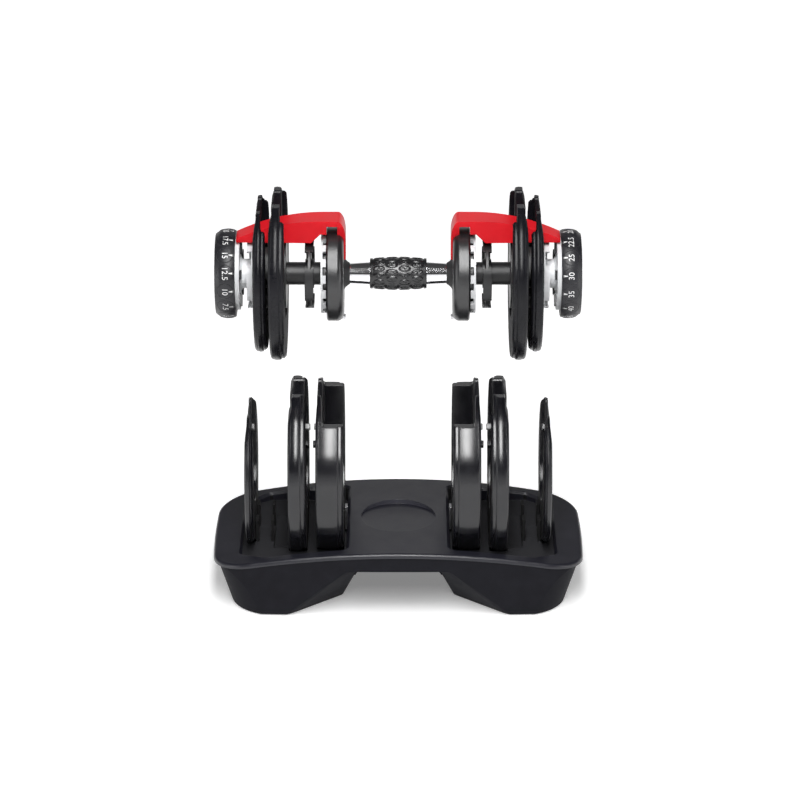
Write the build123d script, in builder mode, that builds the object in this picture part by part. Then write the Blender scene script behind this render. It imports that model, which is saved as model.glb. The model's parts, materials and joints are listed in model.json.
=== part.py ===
from build123d import *
import math
import os

os.makedirs("parts", exist_ok=True)

# Adjustable dumbbell, lifted out of its tray with two plates locked on each side.
# X runs along the handle, Z is up, the origin is the middle of the footprint.
# One side is modelled at +X and mirrored to the other.

# Heights of the handle axis
axis_docked = 142.0
lift = 229.0
axis_lifted = axis_docked + lift

# Clearances
fit = 0.05
running_fit = 0.08
turn_gap = 0.6
seat_gap = 0.3
dock_gap = 0.5

# Grip, chrome collars and boots
grip_length = 62.0
grip_end_radius = 15.5
grip_mid_radius = 17.5
grip_bore_radius = 12.0
bead_width = 3.0
bead_height = 1.0
collar_length = 22.0
collar_radius_in = 12.75
collar_radius_out = 11.25
boot_length = 6.5
boot_radius_in = 11.7
boot_radius_out = 18.0
boot_bore_radius = 10.5
flare_run = 0.6
flare_rise = 0.45
axle_radius = 8.0

# Inner disc, the housing at each end of the grip
disc_radius = 52.0
disc_width = 18.5
disc_face_radius = 43.0
disc_round_width = 6.5
disc_bevel = 1.5
boss_radius = 37.0
boss_height = 3.6
boss_bore_radius = 14.5

# Index ring with its castellated teeth
index_radius = 43.5
index_teeth = 15
tooth_radial = 5.0
tooth_length = 3.5
index_web = 2.2

# Selector tube and selector discs
tube_radius = 12.5
tube_bore_radius = 10.0
bushing_length = 16.0
selector_radius = 38.0
selector_hub_radius = 16.0
flange_width = 3.5
flange_gap_width = 20.0
flange_gap_count = 4
selector_2_web = 3.0
selector_2_flange_in = 3.0
selector_2_flange_out = 3.5
selector_web = 2.2
selector_5_web = 3.0
index_step = 360 / index_teeth
free_gap_angle = 46.0
locked_gap_angle = free_gap_angle + 2 * index_step

# Plate tabs that the selector flanges reach under
tab_angle = 55.0
tab_radial = 6.4
tab_width = 6.0
tab_overlap = 2.7

# Weight plates, numbered outwards from the grip
slot_half = 20.0
rim_round = 3.5
rim_crown = 0.6
lip_share = 0.28
lip_widest = 5.0
lip_drop = 2.0
cover_wall = 4.5
cover_floor = 1.6
core_sink = 0.8
ear_round = 3.0
ear_inset_share = 0.2
ear_shoulder = 7.0
ear_slope = 13.0
ear_edge = 0.8
ear_fall_share = 0.25
ear_fall_widest = 2.6
ear_fall = 13.0
plate_1_radius = 97.0
plate_1_web = 6.2
plate_1_top = 93.0
plate_1_bulge_top = 72.0
plate_1_offset = 1.5
plate_1_recess_half = 54.5
plate_2_radius = 99.0
plate_2_width = 19.2
plate_2_top = 94.0
plate_2_recess = 3.0
plate_3_radius = 95.0
plate_3_width = 16.4
plate_3_top = 88.5
plate_3_recess = 5.0
plate_4_radius = 86.0
plate_4_width = 13.0
plate_4_top = 80.5
plate_4_recess = 6.0
plate_5_radius = 82.0
plate_5_width = 9.0
plate_5_top = 68.5
plate_5_recess = 4.4
plate_5_drop = 8.0
recess_half = 50.0
small_recess_half = 42.0
fin_gap_34 = 4.0
fin_gap_45 = 4.5
gap_23 = 1.4
bulge_cove = 4.0

# White drive flange, dial and end cap
flange_radius = 40.0
flange_thickness = 4.5
flange_hub_radius = 16.0
flange_flare = 5.0
lug_length = 2.5
lug_radius = 30.0
lug_radial = 12.0
lug_width = 10.0
lug_count = 5
dial_radius = 49.0
dial_width = 22.0
dial_wall = 6.0
dial_web = 3.5
dial_crown = 1.5
dial_bevel = 5.0
cap_thickness = 2.6
cap_inset = 1.0
nut_radius = 12.0
nut_length = 7.0

# Red bridge cover over the slots
bridge_half_in = 16.5
bridge_half_out = 13.0
bridge_bottom = 41.0
bridge_top_in = 66.0
bridge_top_mid = 61.6
bridge_top_out = 45.0
bridge_wall = 2.5
bridge_notch = 51.0
bridge_notch_run = 10.0
bridge_wrap = 2.2
hood_round = 9.0
hood_fall = 20.0
hood_low = 60.0
tongue_half_low = 6.0
dial_gap = 1.0

# Dial lock inside the inner disc
lock_radius = 3.0
lock_offset = 7.0
lock_travel = 4.0
lock_foot_half = 4.0
lock_foot_height = 2.5
lock_pin_length = 20.0
lock_bore_gap = 0.1
spring_length = 12.0
spring_radius = 2.2
spring_wire = 0.8
spring_turns = 5
post_width = 2.7
post_half = 5.0
post_foot = 62.0

# Tray
tray_end_margin = 33.6
tray_end_bow = 3.5
tray_half_depth = 95.0
tray_side_bow = 5.0
tray_corner = 45.0
tray_crown = 77.0
tray_sag = 22.5
lid_thickness = 5.0
lid_overhang = 1.0
lid_round = 3.5
pocket_bevel = 3.0
pocket_margin_in = 2.0
pocket_margin_out = 5.0
pocket_half = 83.0
pocket_end_half = 66.0
pocket_taper = 28.0
pocket_corner = 7.0
pocket_ledge = 57.0
pocket_wall = 2.5
tub_bottom = 39.0
tub_low_half = 56.0
dish_radius = 42.0
dish_depth = 5.0
fin_spread = 20.0
fin_length = 14.0
fin_top = 84.0

# Lower shell, feet and screws
pad_proud = 1.5
pad_radius = 13.0
pad_thickness = 3.0
pad_spread = 72.0
shell_wall = 2.5
arch_height = 55.0
arch_round = 9.0
leg_foot_in = 62.0
leg_foot_in_half = 48.0
leg_foot_tip = 124.0
leg_foot_setback = 16.0
leg_foot_half = 100.0
leg_foot_round = 52.0
leg_top_in = 44.0
leg_top_in_half = 99.0
leg_top_tip = 58.0
leg_top_reach = 0.3
leg_top_half = 101.0
leg_tip_round = 30.0
leg_in_round = 8.0
screw_radius = 2.0
screw_head_radius = 4.0
screw_head_height = 2.5
screw_spread = 24.0
screw_sink = 1.5
screw_bite = 10.0
boss_wall = 3.0

# Places along the handle, one side
disc_in = grip_length / 2 + collar_length + boot_length
disc_out = disc_in + disc_width
tooth_in = disc_out + turn_gap
index_out = tooth_in + tooth_length + index_web
plate_1_in = disc_in + plate_1_offset
plate_1_floor = index_out + turn_gap
plate_1_out = plate_1_floor + plate_1_web
selector_2_in = plate_1_out + 2 * turn_gap
selector_2_out = selector_2_in + selector_2_flange_in + selector_2_web + selector_2_flange_out
plate_2_in = selector_2_out + turn_gap
plate_2_out = plate_2_in + plate_2_width
plate_3_in = plate_2_out + gap_23
plate_3_out = plate_3_in + plate_3_width
plate_4_in = plate_3_out + fin_gap_34
plate_4_out = plate_4_in + plate_4_width
plate_5_in = plate_4_out + fin_gap_45
plate_5_out = plate_5_in + plate_5_width
flange_in = plate_5_out + turn_gap + lug_length
dial_in = flange_in + flange_thickness
dial_out = dial_in + dial_width
bridge_out = dial_in - dial_gap
nut_in = dial_in + dial_web + seat_gap
axle_end = nut_in + nut_length
tray_half_length = plate_5_out + tray_end_margin
tongue_bottom = boot_radius_out + seat_gap
leg_foot_out = tray_half_length - leg_foot_setback
leg_top_out = tray_half_length + leg_top_reach
arch_top = arch_height + shell_wall
tab_radius = selector_radius + turn_gap
lock_x = disc_in + lock_offset


def across(x, z):
    """Plane square to the handle: local x is +Y, local y is +Z."""
    return Plane(origin=(x, 0, z), x_dir=(0, 1, 0), z_dir=(1, 0, 0))


def along(z):
    """Upright plane through the handle: local x is +X, local y is +Z from height z."""
    return Plane(origin=(0, 0, z), x_dir=(1, 0, 0), z_dir=(0, -1, 0))


def turned(points, z):
    """A solid of revolution about the handle direction at height z."""
    with BuildPart() as lathe:
        with BuildSketch(along(z)):
            with BuildLine():
                Polyline(*points, close=True)
            make_face()
        revolve(axis=Axis((0, 0, z), (1, 0, 0)))
    return lathe.part


def write(name, solid):
    solid.label = name
    export_step(solid, f"parts/{name}.step")


def write_pair(name, solid):
    """The solid as the right-hand piece, and its mirror image as the left-hand one."""
    with BuildPart() as twin:
        add(solid)
        mirror(about=Plane.YZ, mode=Mode.REPLACE)
    write(f"right_{name}", solid)
    write(f"left_{name}", twin.part)


def open_slot(half, reach):
    """Slot sketch: round at the handle axis and open at the top."""
    Circle(half)
    with Locations((0, reach / 2)):
        Rectangle(2 * half, reach)


def core_solid(axis_z, start, end, floor, radius, drop, top, rim_top, half, wall):
    """Steel filling of a plate, set in from the plate's outline by the wall."""
    reach = 2 * radius
    web_top = top - ear_shoulder - ear_slope
    with BuildPart() as core:
        for from_x, recess, flat in ((floor, slot_half, web_top), (start, half, min(web_top, rim_top))):
            with BuildSketch(across(from_x + cover_floor, axis_z)):
                with Locations((0, -drop)):
                    Circle(radius - wall)
                with BuildSketch(mode=Mode.SUBTRACT):
                    open_slot(recess + wall, reach)
                with Locations((0, flat - wall + reach / 2)):
                    Rectangle(reach, reach, mode=Mode.SUBTRACT)
            extrude(amount=end - core_sink - from_x - cover_floor)
    return core.part


def plate_blank(axis_z, start, end, radius):
    """Turned blank of a plate: crowned rim, rounded outer edge and a lower lip on the handle side."""
    lip_end = start + min(lip_share * (end - start), lip_widest)
    crown_in = lip_end + lip_drop / 2
    crown_out = end - rim_round
    shoulder = radius - rim_crown
    bend = (rim_round - rim_crown) * (1 - math.sqrt(0.5))
    with BuildPart() as blank:
        with BuildSketch(along(axis_z)):
            with BuildLine():
                Polyline(
                    (end, radius - rim_round),
                    (end, 0),
                    (start, 0),
                    (start, radius - 2 * lip_drop),
                    (start + lip_drop, radius - lip_drop),
                    (lip_end, radius - lip_drop),
                    (crown_in, shoulder),
                )
                ThreePointArc(
                    (crown_in, shoulder),
                    ((crown_in + crown_out) / 2, radius),
                    (crown_out, shoulder),
                )
                ThreePointArc(
                    (crown_out, shoulder),
                    (end - rim_round * (1 - math.sqrt(0.5)), shoulder - bend),
                    (end, radius - rim_round),
                )
            make_face()
        revolve(axis=Axis((0, 0, axis_z), (1, 0, 0)))
    return blank.part


def ear_outline(start, end, radius, top):
    """Plate seen from the front: shouldered on the outer side and rounded off on the handle side."""
    ear_in = start + min(ear_fall_share * (end - start), ear_fall_widest)
    ear_out = end - ear_inset_share * (end - start)
    with BuildSketch() as view:
        with BuildLine():
            EllipticalCenterArc((ear_in, top - ear_fall), ear_in - start, ear_fall, 90, arc_size=90)
            Polyline(
                (ear_in, top),
                (ear_out - ear_edge, top),
                (ear_out, top - ear_edge),
                (ear_out, top - ear_shoulder),
                (end, top - ear_shoulder - ear_slope),
                (end, -2 * radius),
                (start, -2 * radius),
                (start, top - ear_fall),
            )
        make_face()
    return view.sketch


def weight_plate(
    name, axis_z, start, end, floor, radius, top, half, tabs_from, tabs_to, drop=0, rim_top=None
):
    """A weight plate: moulded cover with slot, recess and tabs, and its steel core."""
    reach = 2 * radius
    stepped = rim_top is not None
    ear_start = floor if stepped else start
    rim_top = rim_top if stepped else top
    pocket = core_solid(axis_z, start, end, floor, radius, drop, top, rim_top, half, cover_wall - fit)
    with BuildPart() as cover:
        add(plate_blank(axis_z - drop, start, end, radius))
        with BuildSketch(across(start, axis_z)) as opening:
            open_slot(slot_half, reach)
            with Locations((0, top + reach / 2)):
                Rectangle(2 * reach, reach)
            mouth = opening.vertices().filter_by_position(Axis.Y, top - fit, top + fit)
            fillet(mouth.filter_by_position(Axis.X, -slot_half - fit, slot_half + fit), radius=ear_round)
        extrude(amount=end - start, mode=Mode.SUBTRACT)
        with BuildSketch(across(start, axis_z)):
            open_slot(half, reach)
            with Locations((0, rim_top + reach / 2)):
                Rectangle(2 * reach, reach)
        extrude(amount=floor - start, mode=Mode.SUBTRACT)
        with BuildSketch(along(axis_z)):
            add(ear_outline(ear_start, end, radius, top))
            if stepped:
                with Locations(((start + floor) / 2, 0)):
                    Rectangle(floor - start, 4 * radius)
        extrude(amount=reach, both=True, mode=Mode.INTERSECT)
        with BuildSketch(across(tabs_from, axis_z)):
            with PolarLocations(tab_radius + tab_radial / 2, 2, tab_angle, 2 * (180 - 2 * tab_angle)):
                Rectangle(tab_radial, tab_width)
        extrude(amount=tabs_to - tabs_from)
        if stepped:
            step_edges = cover.edges().filter_by(Axis.Y).filter_by_position(
                Axis.Z, axis_z + rim_top - fit, axis_z + rim_top + fit
            )
            fillet(step_edges.group_by(Axis.X)[-1], radius=bulge_cove)
        add(pocket, mode=Mode.SUBTRACT)
    core = core_solid(axis_z, start, end, floor, radius, drop, top, rim_top, half, cover_wall)
    write_pair(f"{name}_cover", cover.part)
    write_pair(f"{name}_core", core)


def selector_disc(name, web_x, web, flanges, gap_angle):
    """Disc with gapped flange rings; flanges lists (start, length) of each ring."""
    with BuildPart() as disc:
        with BuildSketch(across(web_x, axis_lifted)):
            Circle(selector_radius)
            Circle(tube_radius + fit, mode=Mode.SUBTRACT)
        extrude(amount=web)
        for flange_x, length in flanges:
            with BuildSketch(across(flange_x, axis_lifted)):
                Circle(selector_radius)
                Circle(selector_radius - flange_width, mode=Mode.SUBTRACT)
                with PolarLocations(selector_radius, flange_gap_count, gap_angle):
                    Rectangle(4 * flange_width, flange_gap_width, mode=Mode.SUBTRACT)
                Circle(selector_hub_radius)
                Circle(tube_radius + fit, mode=Mode.SUBTRACT)
            extrude(amount=length)
    write_pair(name, disc.part)


# Handle bar: axle, shoulders and tapered chrome collars in one turned piece
grip_half = grip_length / 2
collar_out = grip_half + collar_length
with BuildPart() as handle_bar:
    with BuildSketch(along(axis_lifted)):
        with BuildLine():
            Polyline(
                (0, 0),
                (0, grip_bore_radius),
                (grip_half, grip_bore_radius),
                (grip_half, collar_radius_in),
                (collar_out, collar_radius_out),
                (collar_out, boot_bore_radius),
                (disc_in, boot_bore_radius),
                (disc_in, axle_radius),
                (axle_end, axle_radius),
                (axle_end, 0),
                close=True,
            )
        make_face()
    revolve(axis=Axis((0, 0, axis_lifted), (1, 0, 0)))
    mirror(about=Plane.YZ)
write("handle_bar", handle_bar.part)

# Rubber grip, swelling to the middle, with a bead at each end
with BuildPart() as grip_sleeve:
    with BuildSketch(along(axis_lifted)):
        with BuildLine():
            Line((-grip_half, grip_bore_radius + fit), (-grip_half, grip_end_radius))
            ThreePointArc((-grip_half, grip_end_radius), (0, grip_mid_radius), (grip_half, grip_end_radius))
            Line((grip_half, grip_end_radius), (grip_half, grip_bore_radius + fit))
            Line((grip_half, grip_bore_radius + fit), (-grip_half, grip_bore_radius + fit))
        make_face()
        for side in (-1, 1):
            with Locations((side * (grip_half - bead_width / 2), grip_end_radius)):
                Rectangle(bead_width, 2 * bead_height)
    revolve(axis=Axis((0, 0, axis_lifted), (1, 0, 0)))
write("grip_sleeve", grip_sleeve.part)

# Flared boots between the collars and the inner discs
with BuildPart() as boot:
    with BuildSketch(along(axis_lifted)):
        with BuildLine():
            Line((disc_in, boot_bore_radius + fit), (collar_out, boot_bore_radius + fit))
            Line((collar_out, boot_bore_radius + fit), (collar_out, boot_radius_in))
            flare_x = collar_out + flare_run * boot_length
            flare_r = boot_radius_in + flare_rise * (boot_radius_out - boot_radius_in)
            ThreePointArc((collar_out, boot_radius_in), (flare_x, flare_r), (disc_in, boot_radius_out))
            Line((disc_in, boot_radius_out), (disc_in, boot_bore_radius + fit))
        make_face()
    revolve(axis=Axis((0, 0, axis_lifted), (1, 0, 0)))
write_pair("boot", boot.part)

# Inner disc with rounded handle side, boss inside the index ring and lock pocket
disc_round_x = disc_in + disc_round_width
round_mid_x = disc_round_x - disc_round_width * math.sqrt(0.5)
round_mid_r = disc_face_radius + (disc_radius - disc_face_radius) * math.sqrt(0.5)
lock_low = axis_lifted - disc_radius
lock_bore_top = lock_low + lock_foot_height + lock_pin_length + spring_length
lock_foot_in = disc_in - plate_1_offset
lock_foot_out = lock_x + lock_radius
with BuildPart() as inner_disc:
    with BuildSketch(along(axis_lifted)):
        with BuildLine():
            Polyline((disc_in, axle_radius + fit), (disc_in, disc_face_radius))
            ThreePointArc(
                (disc_in, disc_face_radius),
                (round_mid_x, round_mid_r),
                (disc_round_x, disc_radius),
            )
            Polyline(
                (disc_round_x, disc_radius),
                (disc_out - disc_bevel, disc_radius),
                (disc_out, disc_radius - disc_bevel),
                (disc_out, boss_radius),
                (disc_out + boss_height, boss_radius),
                (disc_out + boss_height, boss_bore_radius),
                (disc_out, boss_bore_radius),
                (disc_out, axle_radius + fit),
                (disc_in, axle_radius + fit),
            )
        make_face()
    revolve(axis=Axis((0, 0, axis_lifted), (1, 0, 0)))
    disc_whole = inner_disc.part
    with BuildSketch(Plane.XY.offset(lock_low - disc_radius)):
        with Locations((lock_x, 0)):
            Circle(lock_radius + lock_bore_gap)
    extrude(amount=lock_bore_top - lock_low + disc_radius, mode=Mode.SUBTRACT)
    with BuildSketch(Plane.XY.offset(lock_low - disc_radius)):
        with Locations(((lock_foot_in + lock_foot_out) / 2, 0)):
            Rectangle(lock_foot_out - lock_foot_in + 2 * dock_gap, 2 * (lock_foot_half + dock_gap))
    extrude(amount=disc_radius + lock_foot_height + lock_travel + dock_gap, mode=Mode.SUBTRACT)
write_pair("inner_disc", inner_disc.part)

# Lock pin with the foot that the tray's post pushes up
with BuildPart() as lock_pin:
    with BuildSketch(Plane.XY.offset(lock_low)):
        with Locations(((lock_foot_in + lock_foot_out) / 2, 0)):
            Rectangle(lock_foot_out - lock_foot_in, 2 * lock_foot_half)
    extrude(amount=lock_foot_height)
    with BuildSketch(Plane.XY.offset(lock_low + lock_foot_height)):
        with Locations((lock_x, 0)):
            Circle(lock_radius)
    extrude(amount=lock_pin_length)
write_pair("lock_pin", lock_pin.part)

# Lock spring: one wire wound above the pin
spring_low = lock_low + lock_foot_height + lock_pin_length + spring_wire / 2 + fit
spring_high = lock_bore_top - spring_wire / 2 - fit
spring_pitch = (spring_high - spring_low) / spring_turns
spring_self_gap = spring_pitch - spring_wire
print(f"lock spring least gap to itself {spring_self_gap:.2f} mm")
with BuildPart() as lock_spring:
    with BuildLine() as coil:
        Helix(
            pitch=spring_pitch,
            height=spring_high - spring_low,
            radius=spring_radius,
            center=(lock_x, 0, spring_low),
        )
    with BuildSketch(Plane(origin=coil.wire() @ 0, z_dir=coil.wire() % 0)):
        Circle(spring_wire / 2)
    sweep(is_frenet=True)
write_pair("lock_spring", lock_spring.part)

# Index ring: web on the tube and a ring of teeth facing the inner disc
with BuildPart() as index_ring:
    with BuildSketch(across(tooth_in + tooth_length, axis_lifted)):
        Circle(index_radius)
        Circle(tube_radius + fit, mode=Mode.SUBTRACT)
    extrude(amount=index_web)
    with BuildSketch(across(tooth_in, axis_lifted)):
        Circle(index_radius)
        Circle(index_radius - tooth_radial, mode=Mode.SUBTRACT)
        gap_width = math.pi * index_radius / index_teeth
        with PolarLocations(index_radius, index_teeth, index_step / 2):
            Rectangle(4 * tooth_radial, gap_width, mode=Mode.SUBTRACT)
    extrude(amount=tooth_length)
write_pair("index_ring", index_ring.part)

# Selector tube and the bushings it turns on
tube_in = disc_out + turn_gap
with BuildPart() as selector_tube:
    with BuildSketch(across(tube_in, axis_lifted)):
        Circle(tube_radius)
        Circle(tube_bore_radius, mode=Mode.SUBTRACT)
    extrude(amount=dial_in - tube_in)
write_pair("selector_tube", selector_tube.part)

with BuildPart() as axle_bushings:
    for bushing_x in (disc_out, dial_in - bushing_length - seat_gap):
        with BuildSketch(across(bushing_x, axis_lifted)):
            Circle(tube_bore_radius - running_fit)
            Circle(axle_radius + fit, mode=Mode.SUBTRACT)
        extrude(amount=bushing_length)
write_pair("axle_bushings", axle_bushings.part)

# Selector discs, each beside the plate that it takes along
web_2 = selector_2_in + selector_2_flange_in
flange_2_out = web_2 + selector_2_web
selector_disc(
    "selector_disc_inner",
    web_2,
    selector_2_web,
    ((selector_2_in, selector_2_flange_in), (flange_2_out, selector_2_flange_out)),
    free_gap_angle,
)
plate_3_floor = plate_3_in + plate_3_recess
plate_4_floor = plate_4_in + plate_4_recess
plate_5_floor = plate_5_in + plate_5_recess
web_3 = plate_2_out + turn_gap
web_4 = plate_3_out + turn_gap
web_5 = plate_4_out + turn_gap
flange_3 = web_3 + selector_web
flange_4 = web_4 + selector_web
flange_5 = web_5 + selector_5_web
ring_3 = (flange_3, plate_3_floor - turn_gap - flange_3)
ring_4 = (flange_4, plate_4_floor - turn_gap - flange_4)
ring_5 = (flange_5, plate_5_floor - turn_gap - flange_5)
selector_disc("selector_disc_third", web_3, selector_web, (ring_3,), locked_gap_angle)
selector_disc("selector_disc_fourth", web_4, selector_web, (ring_4,), locked_gap_angle)
selector_disc("selector_disc_outer", web_5, selector_5_web, (ring_5,), free_gap_angle)

# Weight plates: 1, 2 and 5 stand in the tray, 3 and 4 hang on the handle
plate_2_floor = plate_2_in + plate_2_recess
tab_2_in = flange_2_out + selector_2_flange_out - tab_overlap
tab_3_in = plate_3_floor - turn_gap - tab_overlap
tab_4_in = plate_4_floor - turn_gap - tab_overlap
tab_5_in = plate_5_floor - turn_gap - tab_overlap
weight_plate(
    "plate_first", axis_docked, plate_1_in, plate_1_out, plate_1_floor, plate_1_radius, plate_1_top,
    plate_1_recess_half, plate_1_out, selector_2_in + tab_overlap, rim_top=plate_1_bulge_top,
)
weight_plate(
    "plate_second", axis_docked, plate_2_in, plate_2_out, plate_2_floor, plate_2_radius, plate_2_top,
    recess_half, tab_2_in, plate_2_floor,
)
weight_plate(
    "plate_third", axis_lifted, plate_3_in, plate_3_out, plate_3_floor, plate_3_radius, plate_3_top,
    recess_half, tab_3_in, plate_3_floor,
)
weight_plate(
    "plate_fourth", axis_lifted, plate_4_in, plate_4_out, plate_4_floor, plate_4_radius, plate_4_top,
    recess_half, tab_4_in, plate_4_floor,
)
weight_plate(
    "plate_fifth", axis_docked, plate_5_in, plate_5_out, plate_5_floor, plate_5_radius, plate_5_top,
    small_recess_half, tab_5_in, plate_5_floor, drop=plate_5_drop,
)

# White drive flange: hub on the tube, flared into a disc with lugs facing the plates
with BuildPart() as drive_flange:
    with BuildSketch(along(axis_lifted)):
        with BuildLine():
            Polyline(
                (dial_in, tube_radius + fit),
                (dial_in, flange_radius),
                (flange_in, flange_radius),
                (flange_in, flange_hub_radius + flange_flare),
                (flange_in - lug_length, flange_hub_radius),
                (plate_5_floor - turn_gap, flange_hub_radius),
                (plate_5_floor - turn_gap, tube_radius + fit),
                close=True,
            )
        make_face()
    revolve(axis=Axis((0, 0, axis_lifted), (1, 0, 0)))
    with BuildSketch(across(flange_in - lug_length, axis_lifted)):
        with PolarLocations(lug_radius, lug_count, 90):
            Rectangle(lug_radial, lug_width)
    extrude(amount=lug_length)
write_pair("drive_flange", drive_flange.part)

# Dial: crowned rim, web on the axle and a recess for the end cap
cap_radius = dial_radius - dial_wall - fit
with BuildPart() as dial_ring:
    with BuildSketch(along(axis_lifted)):
        with BuildLine():
            Polyline(
                (dial_out - dial_bevel, dial_radius - dial_crown),
                (dial_out, dial_radius - dial_bevel),
                (dial_out, dial_radius - dial_wall),
                (dial_in + dial_web, dial_radius - dial_wall),
                (dial_in + dial_web, axle_radius + running_fit),
                (dial_in, axle_radius + running_fit),
                (dial_in, dial_radius - dial_crown),
            )
            ThreePointArc(
                (dial_in, dial_radius - dial_crown),
                ((dial_in + dial_out - dial_bevel) / 2, dial_radius),
                (dial_out - dial_bevel, dial_radius - dial_crown),
            )
        make_face()
    revolve(axis=Axis((0, 0, axis_lifted), (1, 0, 0)))
write_pair("dial_ring", dial_ring.part)

cap_face = dial_out - cap_inset
write_pair(
    "dial_cap",
    turned(
        (
            (dial_in + dial_web, cap_radius),
            (cap_face, cap_radius),
            (cap_face + cap_inset / 2, cap_radius - cap_inset),
            (cap_face + cap_inset, 0),
            (cap_face - cap_thickness, 0),
            (cap_face - cap_thickness, cap_radius - cap_thickness),
            (dial_in + dial_web, cap_radius - cap_thickness),
        ),
        axis_lifted,
    ),
)

# Hexagon nut that keeps the dial on the axle
with BuildPart() as end_nut:
    with BuildSketch(across(nut_in, axis_lifted)):
        RegularPolygon(nut_radius, 6)
        Circle(axle_radius + fit, mode=Mode.SUBTRACT)
    extrude(amount=nut_length)
write_pair("end_nut", end_nut.part)

# Red bridge cover: sloping hood that wraps over the inner disc and ends in a tongue
hood_in = disc_in - bridge_wrap
hood_top_in = hood_in + hood_round
notch_x = index_out + turn_gap
bridge_mid = (disc_out + bridge_out) / 2
with BuildPart() as hood_hollow:
    with BuildSketch(along(axis_lifted)):
        with BuildLine():
            Polyline(
                (bridge_out - bridge_wall, bridge_top_out - bridge_wall),
                (bridge_out - bridge_wall, 0),
                (disc_out + bridge_wall, 0),
                (disc_out + bridge_wall, bridge_top_in - bridge_wall),
            )
            ThreePointArc(
                (disc_out + bridge_wall, bridge_top_in - bridge_wall),
                (bridge_mid, bridge_top_mid - bridge_wall),
                (bridge_out - bridge_wall, bridge_top_out - bridge_wall),
            )
        make_face()
    extrude(amount=2 * bridge_half_in, both=True)
    with BuildSketch(Plane.XY.offset(axis_lifted)):
        with BuildLine():
            Polyline(
                (hood_in, bridge_half_in - bridge_wall),
                (bridge_out, bridge_half_out - bridge_wall),
                (bridge_out, bridge_wall - bridge_half_out),
                (hood_in, bridge_wall - bridge_half_in),
                close=True,
            )
        make_face()
    extrude(amount=2 * bridge_top_in, mode=Mode.INTERSECT)

with BuildPart() as bridge_cover:
    with BuildSketch(along(axis_lifted)):
        with BuildLine():
            hood_centre = (hood_top_in, bridge_top_in - hood_fall)
            EllipticalCenterArc(hood_centre, hood_round, hood_fall, 90, arc_size=90)
            Line((hood_top_in, bridge_top_in), (disc_out, bridge_top_in))
            ThreePointArc(
                (disc_out, bridge_top_in),
                (bridge_mid, bridge_top_mid),
                (bridge_out, bridge_top_out),
            )
            Polyline(
                (bridge_out, bridge_top_out),
                (bridge_out, bridge_bottom),
                (notch_x + bridge_notch_run, bridge_bottom),
                (notch_x, bridge_notch),
                (disc_out, bridge_notch),
                (disc_out, hood_low),
                (hood_top_in, hood_low),
                (hood_top_in, disc_face_radius),
                (hood_in, disc_face_radius),
                (hood_in, bridge_top_in - hood_fall),
            )
        make_face()
    extrude(amount=2 * bridge_half_in, both=True)
    with BuildSketch(Plane.XY.offset(axis_lifted)):
        with BuildLine():
            Polyline(
                (hood_in, bridge_half_in),
                (bridge_out, bridge_half_out),
                (bridge_out, -bridge_half_out),
                (hood_in, -bridge_half_in),
                close=True,
            )
        make_face()
    extrude(amount=2 * bridge_top_in, mode=Mode.INTERSECT)
    with BuildSketch(across(hood_in, axis_lifted)):
        with Locations((0, (tongue_bottom + disc_face_radius) / 2)):
            Rectangle(2 * bridge_half_in, disc_face_radius - tongue_bottom)
    extrude(amount=bridge_wrap)
    with BuildSketch(across(hood_in, axis_lifted)):
        for side in (-1, 1):
            with BuildLine():
                Polyline(
                    (side * bridge_half_in, hood_low),
                    (side * tongue_half_low, tongue_bottom),
                    (side * bridge_half_in, tongue_bottom),
                    close=True,
                )
            make_face()
    extrude(amount=hood_round, mode=Mode.SUBTRACT)
    add(hood_hollow.part, mode=Mode.SUBTRACT)
    add(disc_whole, mode=Mode.SUBTRACT)
write_pair("bridge_cover", bridge_cover.part)


def tray_outline(inset=0):
    """Footprint of the tray: bowed sides and ends with rounded corners."""
    corner = (tray_half_length - inset, tray_half_depth - inset)
    with BuildSketch() as outline:
        with BuildLine():
            for side in (-1, 1):
                ThreePointArc(
                    (-corner[0], side * corner[1]),
                    (0, side * (corner[1] + tray_side_bow)),
                    (corner[0], side * corner[1]),
                )
                ThreePointArc(
                    (side * corner[0], -corner[1]),
                    (side * (corner[0] + tray_end_bow), 0),
                    (side * corner[0], corner[1]),
                )
        make_face()
        fillet(outline.vertices(), radius=tray_corner - inset)
    return outline.sketch


def under_arch(drop, floor):
    """Upright section of the tray below its arched top, lowered by drop."""
    reach = tray_half_length + 2 * tray_end_bow
    end_height = tray_crown - tray_sag - drop
    with BuildSketch() as section:
        with BuildLine():
            ThreePointArc((-reach, end_height), (0, tray_crown - drop), (reach, end_height))
            Polyline((reach, end_height), (reach, floor), (-reach, floor), (-reach, end_height))
        make_face()
    return section.sketch


def leg_outline(x_in, in_half, tip, x_out, half, round_out):
    """Plan of one leg at some height: widest from the tip outwards and cut back on the inner side."""
    with BuildSketch() as plan:
        with BuildLine():
            Polyline(
                (x_in, in_half),
                (tip, half),
                (x_out, half),
                (x_out, -half),
                (tip, -half),
                (x_in, -in_half),
                close=True,
            )
        make_face()
        fillet(plan.vertices().filter_by_position(Axis.X, tip - fit, tip + fit), radius=leg_tip_round)
        fillet(plan.vertices().group_by(Axis.X)[0], radius=leg_in_round)
        fillet(plan.vertices().group_by(Axis.X)[-1], radius=round_out)
    return plan.sketch


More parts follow.
